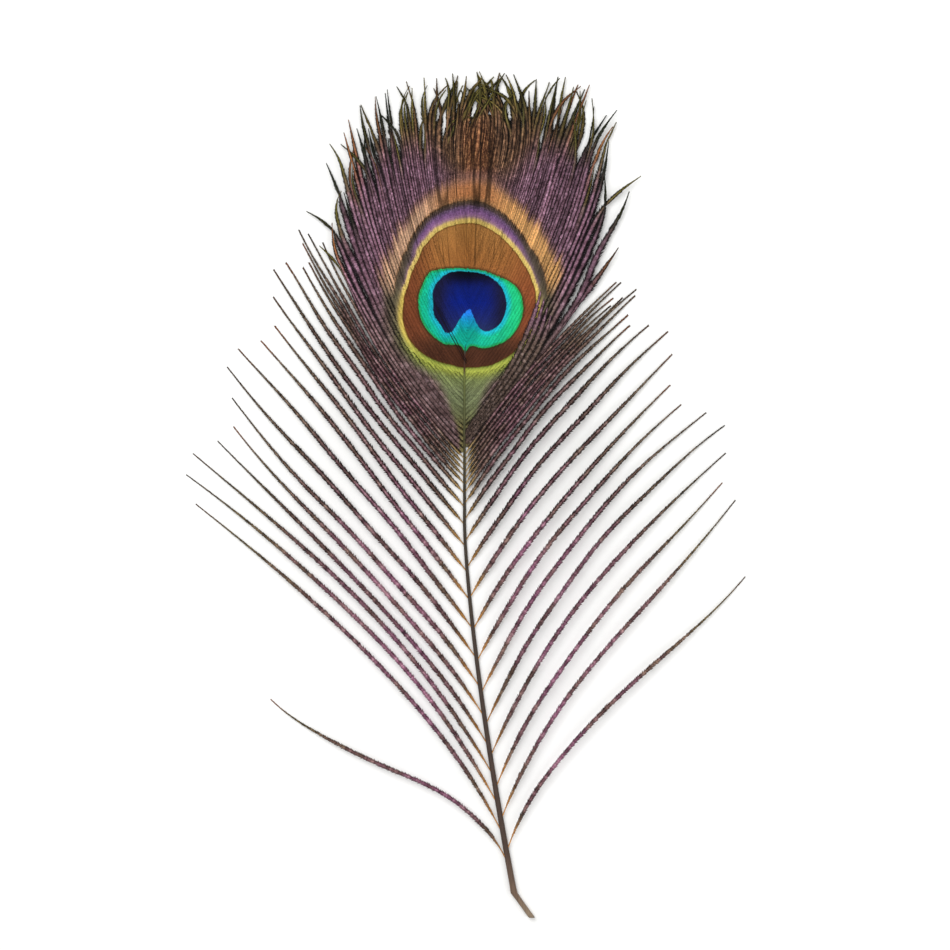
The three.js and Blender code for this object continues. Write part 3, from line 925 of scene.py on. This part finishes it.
def make_loose_material():
    n = Nodes("loose_barbs", roughness=0.5)
    barb = Barb(n, length=120.0, slow=0.1)
    share, rib, y = barb.share, barb.rib, barb.y
    pink = barb.speckled(n, "5c3a4a", "7e5066", "a06c86", "c698ac")
    olive = barb.speckled(n, "3c3426", "64563c", "8a7856")
    dun = barb.speckled(n, "463630", "6a564c", "98827a")
    along = n.ramp(share, 0, 1, [
        (0, "000000"), (0.1, "9a9a9a"), (0.3, "ffffff"), (0.6, "d0d0d0"), (0.85, "000000"),
    ])
    body = n.blend(n.product(along, n.span(barb.slow, 0.3, 0.6, 0.45, 1.0)), olive, pink)
    body = n.blend(n.span(y, -80, -45, 0.0, 0.5), body, dun)
    root = n.ramp(y, -120, -55, [(-120, "b9803e"), (-85, "b08247"), (-55, "9c8458")])
    body = n.blend(n.span(share, 0.10, 0.02), body, root)
    tip = n.ramp(barb.tone, 0, 1, [(0, "33291a"), (0.5, "5c3a20"), (1, "8a4f2a")])
    body = n.blend(n.span(share, 0.9, 1.0), body, tip)
    # Painted highlight along each ramus and painted shade towards the barbule tips, deeper on the upper
    # barbs.
    soft_painted_shade = n.shade(body, n.span(rib, 0.1, 1.0, 1.15, 0.4))
    deep_painted_shade = n.shade(body, n.span(rib, 0.05, 0.75, 1.25, 0.1))
    body = n.blend(n.span(y, -90, -62), soft_painted_shade, deep_painted_shade)
    body = n.shade(body, n.span(barb.hashed, 0.0, 0.7, 0.8, 1.08))
    return n.colour(n.shade(body, n.span(barb.fleck, 0.25, 0.75, 0.65, 1.3)))


def make_shaft_material():
    n = Nodes("shaft_horn", roughness=0.42)
    x, y, _ = n.attribute("place")
    grain = n.noise(n.math("MULTIPLY", y, 0.25), n.math("MULTIPLY", x, 6.0), 1.0, 4.0, 0.6)
    horn = n.ramp(y, -204, 26, [
        (-204, "8d7c68"), (-196, "6e5a4c"), (-180, "4c3e38"), (-100, "433a34"), (-60, "3c382e"),
        (-48, "48432e"), (-34, "565a3a"), (-25, "646a3a"), (-22.4, "50352a"), (-18, "4a3028"),
        (-16.4, "1f5a4c"), (26, "6a4a2c"),
    ])
    return n.colour(n.shade(horn, n.span(grain, 0.25, 0.75, 0.75, 1.3)))


SHAFT_SIDES = 20
GROOVE_DEPTH, GROOVE_WIDTH = 0.16, 0.35
BEND_LENGTH, BEND_SWELL, BEND_SQUEEZE = 1.6, 0.1, 0.14  # where the quill is folded
QUILL_HOLLOW = ((0.05, 3.4), (0.5, 3.0), (0.72, 0.0))  # rings inside the cut: size, depth


def shaft_ring(station, x, half, squeeze):
    """Oval, with a shallow groove along the underside."""
    turn = 2 * np.pi * np.arange(SHAFT_SIDES) / SHAFT_SIDES
    groove = GROOVE_DEPTH * np.exp(-((turn - 1.5 * np.pi) / GROOVE_WIDTH) ** 2)
    reach = 1 - groove
    height = half * SHAFT_DEPTH
    return np.stack([
        x + half * np.cos(turn) * reach,
        np.full(SHAFT_SIDES, station),
        height * squeeze + height * squeeze * np.sin(turn) * reach,
    ], axis=1)


def make_shaft():
    stations = np.concatenate([
        np.linspace(CUT_STATION, BEND_STATION - 0.7, 8),
        np.linspace(BEND_STATION, TIP_STATION, 180),
    ])
    rings = []
    for s in stations:
        bend = math.exp(-((s - BEND_STATION) / BEND_LENGTH) ** 2)
        half = float(shaft_half(s)) * (1 + BEND_SWELL * bend)
        rings.append(shaft_ring(s, float(axis_x(s)), half, 1 - BEND_SQUEEZE * bend))
    outer = np.array(rings)
    middle = outer[0].mean(axis=0)
    into = np.array([-KINK_SLOPE, 1.0, 0.0])
    hollow = [middle + (outer[0] - middle) * size + into * depth for size, depth in QUILL_HOLLOW]
    rings = np.concatenate([hollow, outer])
    n, m = len(rings), SHAFT_SIDES
    k = np.arange(m)
    faces = []
    for r in range(n - 1):
        a, b = r * m + k, r * m + (k + 1) % m
        faces += [np.stack([a, b, b + m], 1), np.stack([a, b + m, a + m], 1)]
    fan = np.stack([k * 0, (k + 1) % m, k], 1)[1:-1]
    faces += [fan, (n - 1) * m + fan[:, ::-1]]
    faces = np.concatenate(faces)[:, ::-1]
    share = np.repeat(np.arange(n) / (n - 1), m)
    across = np.tile((k + 0.5) / m, n)
    uv = np.stack([across, share], axis=1)
    facts = np.stack([share, across, np.full(n * m, 0.5)], axis=1)
    mesh = make_mesh("feather_shaft", rings.reshape(-1, 3), faces, uv, facts)
    mesh.polygons.foreach_set("use_smooth", np.ones(len(mesh.polygons), bool))
    piece = new_object(mesh, make_shaft_material())
    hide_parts("shaft")


FLOOR_REACH = 3.0  # metres each way from the middle


def make_floor():
    n = Nodes("pale_floor", roughness=0.8)
    place = n.new("ShaderNodeTexCoord").outputs["Object"]
    cloud = n.new("ShaderNodeTexNoise")
    cloud.inputs["Scale"].default_value = 6.0
    n.link(place, cloud.inputs["Vector"])
    n.colour(n.ramp(cloud.outputs[0], 0.3, 0.7, [(0.3, "f6f6f4"), (0.7, "fbfbfa")]))
    mesh = bpy.data.meshes.new("floor")
    corners = [(x * FLOOR_REACH, y * FLOOR_REACH, 0) for x, y in ((-1, -1), (1, -1), (1, 1), (-1, 1))]
    mesh.from_pydata(corners, [], [(0, 1, 2, 3)])
    mesh.materials.append(n.material)
    floor = bpy.data.objects.new("floor", mesh)
    bpy.context.scene.collection.objects.link(floor)


def make_light(name, place, size, power):
    """A square soft light that faces the feather."""
    light = bpy.data.lights.new(name, "AREA")
    light.shape = "SQUARE"
    light.size = size
    light.energy = power
    lamp = bpy.data.objects.new(name, light)
    lamp.location = place
    direction = -np.array(place)
    lamp.rotation_euler = (
        math.atan2(math.hypot(direction[0], direction[1]), -direction[2]),
        0,
        math.atan2(direction[1], direction[0]) - math.pi / 2,
    )
    bpy.context.scene.collection.objects.link(lamp)


def make_studio():
    make_floor()
    make_light("key", (-0.6, 0.7, 1.6), 1.4, 23)
    make_light("fill", (1.1, -0.6, 1.3), 1.4, 9)
    world = bpy.data.worlds.new("studio")
    world.use_nodes = True
    world.node_tree.nodes["Background"].inputs["Color"].default_value = (1, 1, 1, 1)
    world.node_tree.nodes["Background"].inputs["Strength"].default_value = 0.5
    bpy.context.scene.world = world


FRAME_MM = 313.5  # width of the photograph at the table
FRAME_MIDDLE = (3.166, 6.4)  # of the photograph, in millimetres from the middle of the CAD box
CAMERA_HEIGHT = 1.2
SENSOR_MM = 36.0


def make_camera():
    camera = bpy.data.cameras.new("camera")
    camera.sensor_width = SENSOR_MM
    camera.lens = SENSOR_MM * CAMERA_HEIGHT * 1000 / FRAME_MM
    rig = bpy.data.objects.new("camera", camera)
    rig.location = (FRAME_MIDDLE[0] / 1000, FRAME_MIDDLE[1] / 1000, CAMERA_HEIGHT)
    bpy.context.scene.collection.objects.link(rig)
    bpy.context.scene.camera = rig


bpy.context.scene.view_settings.view_transform = "Standard"
vane_material = make_vane_material()
loose_material = make_loose_material()
make_shaft()
for side in (LEFT, RIGHT):
    vane_pieces(side)
    loose_piece(side)
make_studio()
make_camera()
